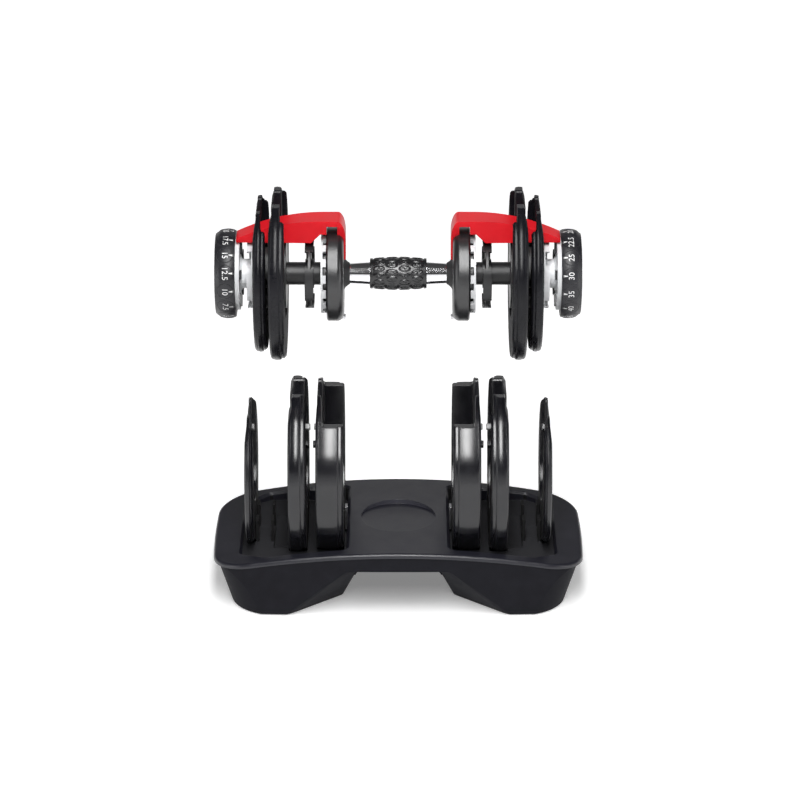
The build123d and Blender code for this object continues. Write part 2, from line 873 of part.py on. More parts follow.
def leg_block(inset, floor):
    """Both legs, from the pointed foot up to the wide skirt, set in from the outside."""
    with BuildPart() as legs:
        with BuildSketch(Plane.XY.offset(floor)):
            add(leg_outline(
                leg_foot_in + inset, leg_foot_in_half - inset, leg_foot_tip,
                leg_foot_out - inset, leg_foot_half - inset, leg_foot_round - inset,
            ))
        with BuildSketch(Plane.XY.offset(arch_top)):
            add(leg_outline(
                leg_top_in + inset, leg_top_in_half - inset, leg_top_tip,
                leg_top_out - inset, leg_top_half - inset, tray_corner - inset,
            ))
        loft()
        mirror(about=Plane.YZ)
    return legs.part


# Base tray: arched lid with a stepped pocket for the plates on each side
screw_x = (plate_1_out + plate_2_in) / 2
screw_places = [(side * screw_x, row * screw_spread) for side in (-1, 1) for row in (-1, 1)]
pocket_in = disc_in - pocket_margin_in
pocket_out = plate_5_out + pocket_margin_out
cradles = (
    (plate_1_in, plate_1_out, plate_1_radius, 0),
    (plate_2_in, plate_3_in - 2 * dock_gap, plate_2_radius, 0),
    (plate_3_in, plate_3_out, plate_3_radius, 0),
    (plate_4_in, plate_4_out, plate_4_radius, 0),
    (plate_5_in, plate_5_out, plate_5_radius, plate_5_drop),
)
with BuildPart() as pocket:
    with BuildSketch(Plane.XY.offset(pocket_ledge)):
        with BuildLine():
            Polyline(
                (pocket_in, pocket_half),
                (pocket_out - pocket_taper, pocket_half),
                (pocket_out, pocket_end_half),
                (pocket_out, -pocket_end_half),
                (pocket_out - pocket_taper, -pocket_half),
                (pocket_in, -pocket_half),
                close=True,
            )
        make_face()
        fillet(vertices(), radius=pocket_corner)
    extrude(amount=tray_crown)
    for cradle_in, cradle_out, radius, drop in cradles:
        with BuildSketch(across(cradle_in - dock_gap, axis_docked - drop)):
            Circle(radius + seat_gap)
        extrude(amount=cradle_out - cradle_in + 2 * dock_gap)
    mirror(about=Plane.YZ)

with BuildPart() as base_tray:
    with BuildSketch(along(0)):
        add(under_arch(0, tub_bottom - tray_sag))
        add(under_arch(lid_thickness, tub_bottom - tray_sag), mode=Mode.SUBTRACT)
    extrude(amount=2 * tray_half_depth, both=True)
    with BuildSketch(Plane.XY):
        add(tray_outline(-lid_overhang))
    extrude(amount=2 * tray_crown, mode=Mode.INTERSECT)
    lid_top = base_tray.faces().filter_by(GeomType.CYLINDER).sort_by(Axis.Z)[-1]
    fillet(lid_top.edges(), radius=lid_round)
    for side in (-1, 1):
        tub_mid = side * (pocket_in + pocket_out) / 2
        tub_length = pocket_out - pocket_in + 2 * pocket_wall
        for half, low, high in (
            (tub_low_half, tub_bottom, pocket_ledge),
            (pocket_half + pocket_wall, pocket_ledge - pocket_wall, tray_crown),
        ):
            with BuildSketch(Plane.XY.offset(low)):
                with Locations((tub_mid, 0)):
                    Rectangle(tub_length, 2 * half)
            extrude(amount=high - low)
    with BuildSketch(along(0)):
        add(under_arch(0, 0))
    extrude(amount=2 * tray_half_depth, both=True, mode=Mode.INTERSECT)
    add(pocket.part, mode=Mode.SUBTRACT)
    top_face = base_tray.faces().filter_by(GeomType.CYLINDER).sort_by(SortBy.AREA)[-1]
    for mouth in top_face.inner_wires():
        chamfer(mouth.edges(), length=pocket_bevel)
    with BuildSketch(Plane.XY.offset(tray_crown - dish_depth - pocket_wall)):
        Circle(dish_radius + pocket_wall)
    extrude(amount=dish_depth)
    dish_tilt = math.degrees(math.atan(dish_depth / (2 * dish_radius)))
    dish_plane = Plane.XY.offset(tray_crown - dish_depth / 2).rotated((-dish_tilt, 0, 0))
    with BuildSketch(dish_plane):
        Circle(dish_radius)
    extrude(amount=4 * dish_depth, mode=Mode.SUBTRACT)
    fin_34 = (plate_3_out + plate_4_in) / 2
    fin_45 = (plate_4_out + plate_5_in) / 2
    for fin_x, gap in ((fin_34, fin_gap_34), (fin_45, fin_gap_45)):
        for side in (-1, 1):
            for row in (-fin_spread, fin_spread):
                with BuildSketch(Plane.XY.offset(pocket_ledge - pocket_wall)):
                    with Locations((side * fin_x, row)):
                        Rectangle(gap - 2 * dock_gap, fin_length)
                extrude(amount=fin_top - pocket_ledge + pocket_wall)
    with BuildSketch(Plane.XY.offset(tub_bottom)):
        with Locations(*screw_places):
            Circle(screw_radius + fit)
    extrude(amount=screw_bite + fit, mode=Mode.SUBTRACT)
write("base_tray", base_tray.part)

# Lower shell: two rounded legs joined by an arched bridge, hollow and open at the top
shell_floor = pad_proud + shell_wall
pad_x = (leg_foot_in + leg_foot_out) / 2
pad_places = [(side * pad_x, row * pad_spread) for side in (-1, 1) for row in (-1, 1)]
with BuildPart() as shell_hollow:
    with BuildSketch(Plane.XY.offset(arch_top)):
        add(tray_outline())
    extrude(amount=tray_crown)
    add(leg_block(shell_wall, shell_floor))
    with BuildSketch(Plane.XY):
        add(tray_outline(shell_wall))
    extrude(amount=3 * tray_crown, mode=Mode.INTERSECT)

with BuildPart() as base_shell:
    with BuildSketch(Plane.XY.offset(arch_height)):
        add(tray_outline())
    extrude(amount=tray_crown)
    add(leg_block(0, pad_proud))
    leg_slope = (leg_foot_in - leg_top_in) / (arch_top - pad_proud)
    corner_x = leg_foot_in - leg_slope * (arch_height - pad_proud)
    bend = arch_round * (1 - math.sqrt(0.5))
    round_share = (arch_height - arch_round - pad_proud) / (arch_top - pad_proud)
    arch_round_half = leg_foot_in_half + round_share * (leg_top_in_half - leg_foot_in_half)
    for side in (-1, 1):
        with BuildSketch(along(0)):
            with BuildLine():
                ThreePointArc(
                    (side * (corner_x - arch_round), arch_height),
                    (side * (corner_x - bend), arch_height - bend),
                    (side * (corner_x + leg_slope * arch_round), arch_height - arch_round),
                )
                Polyline(
                    (side * (corner_x + leg_slope * arch_round), arch_height - arch_round),
                    (side * leg_foot_in, arch_height - arch_round),
                    (side * leg_foot_in, arch_top),
                    (side * (corner_x - arch_round), arch_top),
                    (side * (corner_x - arch_round), arch_height),
                )
            make_face()
        extrude(amount=arch_round_half, both=True)
    with BuildSketch(Plane.XY):
        add(tray_outline())
    extrude(amount=2 * tray_crown, mode=Mode.INTERSECT)
    with BuildSketch(along(0)):
        add(under_arch(lid_thickness, 0))
    extrude(amount=2 * tray_half_depth, both=True, mode=Mode.INTERSECT)
    add(shell_hollow.part, mode=Mode.SUBTRACT)
    with BuildSketch(Plane.XY.offset(pad_proud)):
        with Locations(*screw_places):
            Circle(screw_head_radius + boss_wall)
    extrude(amount=tub_bottom - pad_proud)
    with BuildSketch(Plane.XY.offset(pad_proud)):
        with Locations(*screw_places):
            Circle(screw_radius + fit)
    extrude(amount=tub_bottom - pad_proud, mode=Mode.SUBTRACT)
    with BuildSketch(Plane.XY.offset(pad_proud)):
        with Locations(*screw_places):
            Circle(screw_head_radius + fit)
    extrude(amount=screw_head_height + screw_sink, mode=Mode.SUBTRACT)
    with BuildSketch(Plane.XY.offset(pad_proud)):
        with Locations(*pad_places):
            Circle(pad_radius + fit)
    extrude(amount=pad_thickness - pad_proud, mode=Mode.SUBTRACT)
write("base_shell", base_shell.part)

# Rubber foot pads, the four surfaces that the tray stands on
with BuildPart() as foot_pads:
    with BuildSketch(Plane.XY):
        with Locations(*pad_places):
            Circle(pad_radius)
    extrude(amount=pad_thickness)
write("foot_pads", foot_pads.part)

# Screws that hold the tray on the shell
with BuildPart() as base_screws:
    head_low = pad_proud + screw_sink
    with BuildSketch(Plane.XY.offset(head_low)):
        with Locations(*screw_places):
            Circle(screw_head_radius)
    extrude(amount=screw_head_height)
    with BuildSketch(Plane.XY.offset(head_low)):
        with Locations(*screw_places):
            Circle(screw_radius)
    extrude(amount=tub_bottom + screw_bite - head_low)
write("base_screws", base_screws.part)

# Steel release posts on the inner walls of the pockets
with BuildPart() as release_posts:
    with BuildSketch(Plane.XY.offset(post_foot)):
        for side in (-1, 1):
            with Locations((side * (pocket_in + post_width / 2), 0)):
                Rectangle(post_width, 2 * post_half)
    extrude(amount=axis_docked - disc_radius - dock_gap - post_foot)
write("release_posts", release_posts.part)
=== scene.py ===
import json
import math
import bmesh
import bpy
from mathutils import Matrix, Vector


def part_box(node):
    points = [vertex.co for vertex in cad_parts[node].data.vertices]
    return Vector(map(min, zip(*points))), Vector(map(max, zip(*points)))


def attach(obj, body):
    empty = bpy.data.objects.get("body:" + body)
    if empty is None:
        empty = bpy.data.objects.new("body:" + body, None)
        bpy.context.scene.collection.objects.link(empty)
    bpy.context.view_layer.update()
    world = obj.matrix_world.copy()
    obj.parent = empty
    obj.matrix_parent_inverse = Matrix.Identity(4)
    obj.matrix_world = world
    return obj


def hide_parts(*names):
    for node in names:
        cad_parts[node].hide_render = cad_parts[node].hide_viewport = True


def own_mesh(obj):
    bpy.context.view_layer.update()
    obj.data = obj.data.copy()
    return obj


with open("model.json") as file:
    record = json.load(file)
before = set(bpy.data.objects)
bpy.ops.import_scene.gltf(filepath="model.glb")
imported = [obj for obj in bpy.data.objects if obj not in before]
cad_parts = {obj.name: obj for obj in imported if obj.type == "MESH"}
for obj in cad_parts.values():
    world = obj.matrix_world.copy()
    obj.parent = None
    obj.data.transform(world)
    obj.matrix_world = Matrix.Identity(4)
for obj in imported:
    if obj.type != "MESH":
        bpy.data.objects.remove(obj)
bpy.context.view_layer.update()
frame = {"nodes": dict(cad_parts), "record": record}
nodes = frame["nodes"]

# Lengths are in metres, in the frame of the CAD model
MM = 0.001
SIDES = {"left": -1, "right": 1}

# Places that the details need, read from the frame
bar_low, bar_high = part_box("handle_bar")
axis_z = (bar_low.z + bar_high.z) / 2
dial_low, dial_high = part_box("right_dial_ring")
dial_in = dial_low.x
dial_out = dial_high.x
dial_radius = (dial_high.z - dial_low.z) / 2
grip_low, grip_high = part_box("grip_sleeve")
grip_half = grip_high.x
grip_mid_radius = (grip_high.z - grip_low.z) / 2

# Dial: the crowned rim and the bevel at its outer edge
dial_crown = 1.5 * MM
dial_bevel = 5.0 * MM

# Dial numbers and pointers: inward is the distance from the plate-side edge of the rim
settings = ("5", "7.5", "10", "12.5", "15", "17.5", "20", "22.5", "25", "30", "35", "40", "45", "50", "52.5")
setting_step = math.radians(360 / len(settings))
chosen = settings.index("20")
chosen_angle = {"left": math.radians(93.0), "right": math.radians(89.5)}
number_inward = 10.6 * MM
number_size = 8.8 * MM
number_cuts = 4
number_cut_step = 0.8 * MM
mark_lift = 0.12 * MM
tick_from = 1.3 * MM
tick_to = 6.2 * MM
tick_wide = 2.6 * MM
tick_narrow = 0.8 * MM
tick_steps = 4

# Moulded rings round the numbers
scallop_radius = 8.8 * MM
scallop_wire = 0.5 * MM
scallop_flatness = 0.6

# Dial cap: how far its shallow cone drops at shares of its radius
cap_drops = ((0.1, 0.03 * MM), (0.5, 0.25 * MM), (0.9, 0.45 * MM))
cap_edge_drop = 0.5 * MM
cap_round = 1.0 * MM
cap_wall = 2.6 * MM
cap_sharp = math.radians(30)

# Pockets of the tray: their outline tapers towards the ends, and the fins stand above fin_low, where painted
# shade colours them near black
pocket_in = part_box("right_inner_disc")[0].x - 2.0 * MM
pocket_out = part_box("right_plate_fifth_cover")[1].x + 5.0 * MM
pocket_half = 83.0 * MM
pocket_taper = 28.0 * MM
pocket_end_half = 66.0 * MM
pocket_rough = 0.8
pocket_colour = (0.014, 0.014, 0.017)
fin_low = 58.0 * MM
# Painted shade: the fins are coloured near black to stand in for the shade that falls on them
fin_shade_colour = (0.001, 0.001, 0.0015)

# Finger dish: its wall is where the upright part of the normal is under wall_lean, and a painted highlight
# makes it paler
dish_reach = 44.0 * MM
wall_lean = 0.7
# Painted highlight: a paler colour on the dish wall stands in for the light that it reflects
dish_highlight_colour = (0.06, 0.06, 0.075)

# White drive flange: the lugs stand outside lug_inner, on the plate side of lug_plane
lug_inner = 23.0 * MM
lug_plane = dial_in - 4.6 * MM
lug_colour = (0.02, 0.02, 0.022)

# Lock spring
spring_radius = 2.2 * MM
spring_wire = 0.8 * MM
spring_turns = 5

# Grip: beads at its ends and staggered eye-shaped pads, in shares of a pad's own cell
grip_end_radius = 15.5 * MM
bead_width = 3.0 * MM
bead_height = 1.0 * MM
grip_columns = 4
grip_rows = 14
pad_height = 0.8 * MM
pad_half_across = 0.5
pad_half_up = 0.46
pad_edge = 0.4
slit_waves = 3
slit_swing = 0.08
slit_width = 0.07
slit_half_across = 0.3
slit_depth = 0.6

# Finishes: the mottling and where it changes tone, the grain, and where a plate's side begins
mottle_scale = 60
mottle_detail = 5.0
tone_low = 0.3
tone_high = 0.7
grain_detail = 3.0
grain_depth = 0.2 * MM
bevel_samples = 4
side_from = 0.7
side_to = 0.95

# Floor: the shade under the tray in shares of an ellipse, and how far out the floor turns white
floor_half = 8.0
floor_mottle = 3.0
floor_detail = 4.0
shade_radii = (0.21, 0.11)
shade_run = (0.6, 1.7)
shade_glow = (0.22, 0.65)
far_run = (1.0, 3.5)
far_glow = (0.0, 0.35)

# World and lamps: the dim light from all round, where the white horizon ends, and what the lamps face
world_level = 0.06
horizon_run = (0.12, 0.18)
lamp_aim = Vector((0, 0, 0.25))


def material(name):
    """An empty node material with its shader."""
    made = bpy.data.materials.new(name)
    made.use_nodes = True
    tree = made.node_tree
    return made, tree, tree.nodes["Principled BSDF"]


def put(tree, value, socket):
    """Set an input to a number, or link it to a socket."""
    if isinstance(value, (int, float)):
        socket.default_value = value
    else:
        tree.links.new(value, socket)


def math_node(tree, operation, first, second=0):
    """A maths node; each input is a socket or a number."""
    step = tree.nodes.new("ShaderNodeMath")
    step.operation = operation
    put(tree, first, step.inputs[0])
    put(tree, second, step.inputs[1])
    return step.outputs["Value"]


def distance(tree, first, second):
    """Distance from the origin of two coordinates."""
    squares = [math_node(tree, "MULTIPLY", part, part) for part in (first, second)]
    return math_node(tree, "SQRT", math_node(tree, "ADD", *squares))


def map_range(tree, value, from_low, from_high, to_low, to_high):
    """A number that runs between two others while the value runs between its own limits."""
    spread = tree.nodes.new("ShaderNodeMapRange")
    put(tree, value, spread.inputs["Value"])
    put(tree, from_low, spread.inputs["From Min"])
    put(tree, from_high, spread.inputs["From Max"])
    put(tree, to_low, spread.inputs["To Min"])
    put(tree, to_high, spread.inputs["To Max"])
    return spread.outputs["Result"]


def parts_of(tree, vector):
    """The x, y and z of a vector."""
    split = tree.nodes.new("ShaderNodeSeparateXYZ")
    tree.links.new(vector, split.inputs["Vector"])
    return split.outputs


def places(tree, space="Object"):
    """Coordinates in the object's own space, or another one that is named."""
    return parts_of(tree, tree.nodes.new("ShaderNodeTexCoord").outputs[space])


def normals(tree):
    """The way that the surface faces."""
    return parts_of(tree, tree.nodes.new("ShaderNodeNewGeometry").outputs["Normal"])


def noise(tree, scale, detail, stretch=(1, 1, 1)):
    """Noise in the object's own space; stretch draws it out along an axis."""
    place = tree.nodes.new("ShaderNodeTexCoord")
    mapping = tree.nodes.new("ShaderNodeMapping")
    mapping.inputs["Scale"].default_value = stretch
    texture = tree.nodes.new("ShaderNodeTexNoise")
    texture.inputs["Scale"].default_value = scale
    texture.inputs["Detail"].default_value = detail
    tree.links.new(place.outputs["Object"], mapping.inputs["Vector"])
    tree.links.new(mapping.outputs["Vector"], texture.inputs["Vector"])
    return texture.outputs["Fac"]


def two_tone(tree, factor, dark, light):
    """A colour that runs from dark to light with the factor."""
    ramp = tree.nodes.new("ShaderNodeValToRGB")
    ramp.color_ramp.elements[0].position = tone_low
    ramp.color_ramp.elements[0].color = (*dark, 1)
    ramp.color_ramp.elements[1].position = tone_high
    ramp.color_ramp.elements[1].color = (*light, 1)
    tree.links.new(factor, ramp.inputs["Fac"])
    return ramp.outputs["Color"]


def grain(tree, shader, scale, strength, edge, stretch):
    """Fine surface relief over softened edges."""
    soft = tree.nodes.new("ShaderNodeBevel")
    soft.samples = bevel_samples
    soft.inputs["Radius"].default_value = edge
    relief = tree.nodes.new("ShaderNodeBump")
    relief.inputs["Strength"].default_value = strength
    relief.inputs["Distance"].default_value = grain_depth
    tree.links.new(noise(tree, scale, grain_detail, stretch), relief.inputs["Height"])
    tree.links.new(soft.outputs["Normal"], relief.inputs["Normal"])
    tree.links.new(relief.outputs["Normal"], shader.inputs["Normal"])


def rough_sides(tree, rim_rough, side_rough):
    """Roughness that rises from the rim of a plate to its textured flat sides."""
    sideways = math_node(tree, "ABSOLUTE", normals(tree)["X"])
    return map_range(tree, sideways, side_from, side_to, rim_rough, side_rough)


def surface(name, dark, light, rough, relief, edge=0.5 * MM, metal=0.0, shine=0.5, stretch=(1, 1, 1),
            side_rough=None):
    """A moulded, painted or metal finish with mottled colour, uneven gloss and fine relief.

    rough holds the lowest and highest roughness, and relief the scale and strength of the grain.
    """
    made, tree, shader = material(name)
    shader.inputs["Metallic"].default_value = metal
    shader.inputs["Specular IOR Level"].default_value = shine
    patches = noise(tree, mottle_scale, mottle_detail, stretch)
    tree.links.new(two_tone(tree, patches, dark, light), shader.inputs["Base Color"])
    dullness = map_range(tree, patches, tone_low, tone_high, *rough)
    if side_rough:
        dullness = rough_sides(tree, dullness, side_rough)
    tree.links.new(dullness, shader.inputs["Roughness"])
    grain(tree, shader, *relief, edge, stretch)
    return made


# Finishes
tray_black = surface("tray_black", (0.012, 0.012, 0.018), (0.016, 0.016, 0.023), (0.30, 0.38), (1500, 0.12),
                     edge=0.8 * MM)
shell_black = surface("shell_black", (0.011, 0.011, 0.014), (0.015, 0.015, 0.019), (0.58, 0.68), (1500, 0.3),
                      edge=0.8 * MM, shine=0.08)
gloss_cover = surface("gloss_cover", (0.006, 0.006, 0.008), (0.010, 0.010, 0.013), (0.18, 0.24), (300, 0.02),
                      edge=2.0 * MM, shine=0.58, side_rough=0.7)
satin_cover = surface("satin_cover", (0.006, 0.006, 0.008), (0.009, 0.009, 0.012), (0.24, 0.30), (700, 0.03),
                      edge=1.6 * MM, shine=0.22, side_rough=0.75)
core_paint = surface("core_paint", (0.016, 0.016, 0.018), (0.030, 0.030, 0.033), (0.42, 0.58), (420, 0.35))
dark_plastic = surface("dark_plastic", (0.010, 0.010, 0.011), (0.016, 0.016, 0.018), (0.32, 0.42),
                       (900, 0.10), edge=0.7 * MM)
disc_black = surface("disc_black", (0.010, 0.010, 0.011), (0.016, 0.016, 0.018), (0.30, 0.38), (900, 0.06),
                     edge=1.0 * MM, shine=0.75)
dial_black = surface("dial_black", (0.010, 0.010, 0.013), (0.016, 0.016, 0.020), (0.36, 0.46), (1100, 0.16),
                     edge=0.7 * MM)
tube_black = surface("tube_black", (0.012, 0.012, 0.013), (0.018, 0.018, 0.020), (0.40, 0.52), (900, 0.12),
                     stretch=(0.2, 1, 1))
grip_rubber = surface("grip_rubber", (0.010, 0.010, 0.011), (0.018, 0.018, 0.020), (0.22, 0.30), (1300, 0.04),
                      edge=0.1 * MM, shine=0.6)
matt_rubber = surface("matt_rubber", (0.012, 0.012, 0.013), (0.020, 0.020, 0.021), (0.50, 0.64), (1200, 0.3))
bridge_red = surface("bridge_red", (0.70, 0.010, 0.018), (0.76, 0.013, 0.022), (0.32, 0.40), (900, 0.05),
                     edge=0.9 * MM, shine=0.14)
white_plastic = surface("white_plastic", (0.78, 0.79, 0.81), (0.86, 0.87, 0.88), (0.34, 0.44), (800, 0.06))
flange_white = surface("flange_white", (0.78, 0.79, 0.81), (0.86, 0.87, 0.88), (0.34, 0.44), (800, 0.06))
chrome = surface("chrome", (0.80, 0.80, 0.82), (0.88, 0.88, 0.90), (0.06, 0.10), (200, 0.002),
                 metal=1.0, stretch=(0.1, 1, 1))
bright_steel = surface("bright_steel", (0.45, 0.45, 0.47), (0.62, 0.62, 0.64), (0.24, 0.36), (900, 0.08),
                       metal=1.0, stretch=(1, 1, 0.08))
bush_brass = surface("bush_brass", (0.56, 0.40, 0.16), (0.70, 0.52, 0.24), (0.24, 0.34), (700, 0.05),
                     metal=1.0)
print_white = surface("print_white", (0.84, 0.84, 0.84), (0.90, 0.90, 0.90), (0.45, 0.55), (900, 0.03),
                      edge=0.05 * MM)


def recolour(finish, where, colour):
    """Another colour where the factor is one."""
    tree = finish.node_tree
    base = tree.nodes["Principled BSDF"].inputs["Base Color"]
    mix = tree.nodes.new("ShaderNodeMix")
    mix.data_type = "RGBA"
    mix.inputs["B"].default_value = (*colour, 1)
    tree.links.new(where, mix.inputs["Factor"])
    tree.links.new(base.links[0].from_socket, mix.inputs["A"])
    tree.links.new(mix.outputs["Result"], base)


def roughen_pockets_and_shade_fins(finish):
    """Rougher moulding inside the pockets of the tray, with painted shade that colours the fins near black.
    """
    tree = finish.node_tree
    place = places(tree)
    out = math_node(tree, "ABSOLUTE", place["X"])
    along = math_node(tree, "ABSOLUTE", place["Y"])
    past_taper = math_node(tree, "SUBTRACT", out, pocket_out - pocket_taper)
    past_taper = math_node(tree, "MAXIMUM", past_taper, 0)
    narrowing = math_node(tree, "MULTIPLY", past_taper, (pocket_half - pocket_end_half) / pocket_taper)
    inside = math_node(tree, "LESS_THAN", math_node(tree, "ADD", along, narrowing), pocket_half)
    inside = math_node(tree, "MULTIPLY", inside, math_node(tree, "GREATER_THAN", out, pocket_in))
    inside = math_node(tree, "MULTIPLY", inside, math_node(tree, "LESS_THAN", out, pocket_out))
    fins = math_node(tree, "MULTIPLY", inside, math_node(tree, "GREATER_THAN", place["Z"], fin_low))
    recolour(finish, inside, pocket_colour)
    # Painted shade on the fins
    recolour(finish, fins, fin_shade_colour)
    roughness = tree.nodes["Principled BSDF"].inputs["Roughness"]
    smooth = roughness.links[0].from_socket
    rough = math_node(tree, "MULTIPLY", inside, pocket_rough)
    tree.links.new(math_node(tree, "MAXIMUM", smooth, rough), roughness)


def paint_dish_wall_highlight(finish):
    """A painted highlight: the wall round the finger dish is coloured paler."""
    tree = finish.node_tree
    place = places(tree)
    near = math_node(tree, "LESS_THAN", distance(tree, place["X"], place["Y"]), dish_reach)
    upright = math_node(tree, "ABSOLUTE", normals(tree)["Z"])
    wall = math_node(tree, "LESS_THAN", upright, wall_lean)
    # Painted highlight on the dish wall
    recolour(finish, math_node(tree, "MULTIPLY", wall, near), dish_highlight_colour)


def darken_lugs(finish):
    """Dark pads where the lugs stand off the flange."""
    tree = finish.node_tree
    place = places(tree)
    above = math_node(tree, "SUBTRACT", place["Z"], axis_z)
    out_there = math_node(tree, "GREATER_THAN", distance(tree, place["Y"], above), lug_inner)
    plate_side = math_node(tree, "LESS_THAN", math_node(tree, "ABSOLUTE", place["X"]), lug_plane)
    recolour(finish, math_node(tree, "MULTIPLY", out_there, plate_side), lug_colour)


roughen_pockets_and_shade_fins(tray_black)
paint_dish_wall_highlight(tray_black)
darken_lugs(flange_white)

by_slot = {
    "tray_plastic": tray_black,
    "rubber": matt_rubber,
    "chrome": chrome,
    "steel": bright_steel,
    "bearing_brass": bush_brass,
    "white_plastic": white_plastic,
    "dark_plastic": dark_plastic,
    "red_plastic": bridge_red,
    "plate_cover": gloss_cover,
    "plate_core": core_paint,
}
by_ending = {
    "base_shell": shell_black,
    "plate_third_cover": satin_cover,
    "plate_fourth_cover": satin_cover,
    "inner_disc": disc_black,
    "dial_ring": dial_black,
    "dial_cap": dial_black,
    "selector_tube": tube_black,
    "drive_flange": flange_white,
}


def paint(piece, finish):
    """Give a piece its only material."""
    piece.data.materials.clear()
    piece.data.materials.append(finish)


for subpart in frame["record"]["subparts"]:
    node = subpart["node"]
    finish = by_slot[subpart["material_slot"]]
    for ending, special in by_ending.items():
        if node.endswith(ending):
            finish = special
    paint(nodes[node], finish)


def mesh_piece(name, points, faces, finish, body):
    """A mesh from points and faces, painted and riding on a body."""
    mesh = bpy.data.meshes.new(name)
    mesh.from_pydata([tuple(p) for p in points], [], faces)
    mesh.validate()
    mesh.shade_smooth()
    piece = bpy.data.objects.new(name, mesh)
    bpy.context.scene.collection.objects.link(piece)
    paint(piece, finish)
    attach(piece, body)
    return piece


def tube_faces(rings, around, first=0, closed=False, flip=False):
    """Quads between rings of points; closed also joins the last ring to the first."""
    faces = []
    for ring in range(rings if closed else rings - 1):
        here = first + ring * around
        after = first + (ring + 1) % rings * around
        for k in range(around):
            beside = (k + 1) % around
            if flip:
                faces.append((here + k, after + k, after + beside, here + beside))
            else:
                faces.append((here + k, here + beside, after + beside, after + k))
    return faces


def end_faces(rings, around, flip=False):
    """The faces that close a tube at its first and last ring."""
    front = tuple(range(around))
    back = tuple(range((rings - 1) * around, rings * around))
    return [front, back[::-1]] if flip else [front[::-1], back]


def rim_radius(inward):
    """Radius of the dial's rim at a distance from its plate-side edge."""
    crown_half = (dial_out - dial_in - dial_bevel) / 2
    if inward <= 2 * crown_half:
        return dial_radius - dial_crown * ((inward - crown_half) / crown_half) ** 2
    slope = (dial_bevel - dial_crown) / dial_bevel
    return dial_radius - dial_crown - slope * (inward - 2 * crown_half)


def on_dial(sign, inward, angle, lift):
    """A point on the dial's rim; the angle runs up from the front."""
    radius = rim_radius(inward) + lift
    return Vector((
        sign * (dial_in + inward),
        -math.cos(angle) * radius,
        axis_z + math.sin(angle) * radius,
    ))


def flat_text(label):
    """Points and faces of a number, centred, in its own plane, cut so that it can follow the rim."""
    curve = bpy.data.curves.new("number", "FONT")
    curve.body = label
    curve.size = number_size
    curve.align_x = "CENTER"
    curve.align_y = "CENTER"
    curve.resolution_u = 3
    holder = bpy.data.objects.new("number", curve)
    mesh = bpy.data.meshes.new_from_object(holder)
    cut = bmesh.new()
    cut.from_mesh(mesh)
    for k in range(-number_cuts, number_cuts + 1):
        everything = cut.verts[:] + cut.edges[:] + cut.faces[:]
        bmesh.ops.bisect_plane(cut, geom=everything, plane_co=(0, k * number_cut_step, 0), plane_no=(0, 1, 0))
    cut.verts.index_update()
    points = [v.co.copy() for v in cut.verts]
    faces = [tuple(v.index for v in f.verts) for f in cut.faces]
    cut.free()
    bpy.data.objects.remove(holder)
    bpy.data.curves.remove(curve)
    bpy.data.meshes.remove(mesh)
    return points, faces


def dial_angle(side, index):
    """Where a setting stands: values fall towards the front on the left dial and rise on the right one."""
    return chosen_angle[side] - SIDES[side] * setting_step * (index - chosen)


def dial_print(side):
    """White numbers and pointers on one dial."""
    sign = SIDES[side]
    points = []
    faces = []
    for index, label in enumerate(settings):
        angle = dial_angle(side, index)
        flat, flat_faces = flat_text(label)
        first = len(points)
        for p in flat:
            turn = sign * p.x / dial_radius
            points.append(on_dial(sign, number_inward - p.y, angle + turn, mark_lift))
        faces.extend(tuple(first + i for i in f) for f in flat_faces)
        first = len(points)
        for step in range(tick_steps + 1):
            share = step / tick_steps
            inward = tick_from + share * (tick_to - tick_from)
            turn = (tick_wide + share * (tick_narrow - tick_wide)) / 2 / dial_radius
            points.append(on_dial(sign, inward, angle - turn, mark_lift))
            points.append(on_dial(sign, inward, angle + turn, mark_lift))
        for k in range(first, first + 2 * tick_steps, 2):
            faces.append((k, k + 1, k + 3, k + 2))
    mesh_piece(f"{side}_dial_print", points, faces, print_white, f"{side}_dial")


def dial_scallops(side, steps=40, sides=6):
    """Moulded ring round each number."""
    sign = SIDES[side]
    points = []
    faces = []
    for index in range(len(settings)):
        angle = dial_angle(side, index)
        faces.extend(tube_faces(steps, sides, first=len(points), closed=True))
        for step in range(steps):
            around = 2 * math.pi * step / steps
            for k in range(sides):
                turn = 2 * math.pi * k / sides
                reach = scallop_radius + scallop_wire * math.cos(turn)
                inward = number_inward + reach * math.cos(around)
                place = angle + reach * math.sin(around) / dial_radius
                lift = scallop_flatness * scallop_wire * math.sin(turn)
                points.append(on_dial(sign, inward, place, lift))
    mesh_piece(f"{side}_dial_scallops", points, faces, dial_black, f"{side}_dial")


def dial_cover(side, around=96):
    """The shallow conical cap in the end of a dial."""
    sign = SIDES[side]
    low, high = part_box("right_dial_cap")
    reach = (high.z - low.z) / 2
    inside = high.x - cap_round - cap_wall
    profile = [(high.x - drop, share * reach) for share, drop in cap_drops]
    profile += [
        (high.x - cap_edge_drop, reach - cap_round),
        (high.x - cap_round, reach),
        (low.x, reach),
        (low.x, reach - cap_wall),
        (inside, reach - cap_wall),
        (inside, cap_drops[0][0] * reach),
    ]
    points = []
    for x, radius in profile:
        for k in range(around):
            angle = 2 * math.pi * k / around
            points.append((sign * x, radius * math.cos(angle), axis_z + radius * math.sin(angle)))
    faces = tube_faces(len(profile), around, flip=sign > 0)
    faces += end_faces(len(profile), around, flip=sign > 0)
    piece = mesh_piece(f"{side}_dial_cover", points, faces, dial_black, f"{side}_dial")
    piece.data.set_sharp_from_angle(angle=cap_sharp)
    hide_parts(f"{side}_dial_cap")


for side in SIDES:
    dial_print(side)
    dial_scallops(side)
    dial_cover(side)


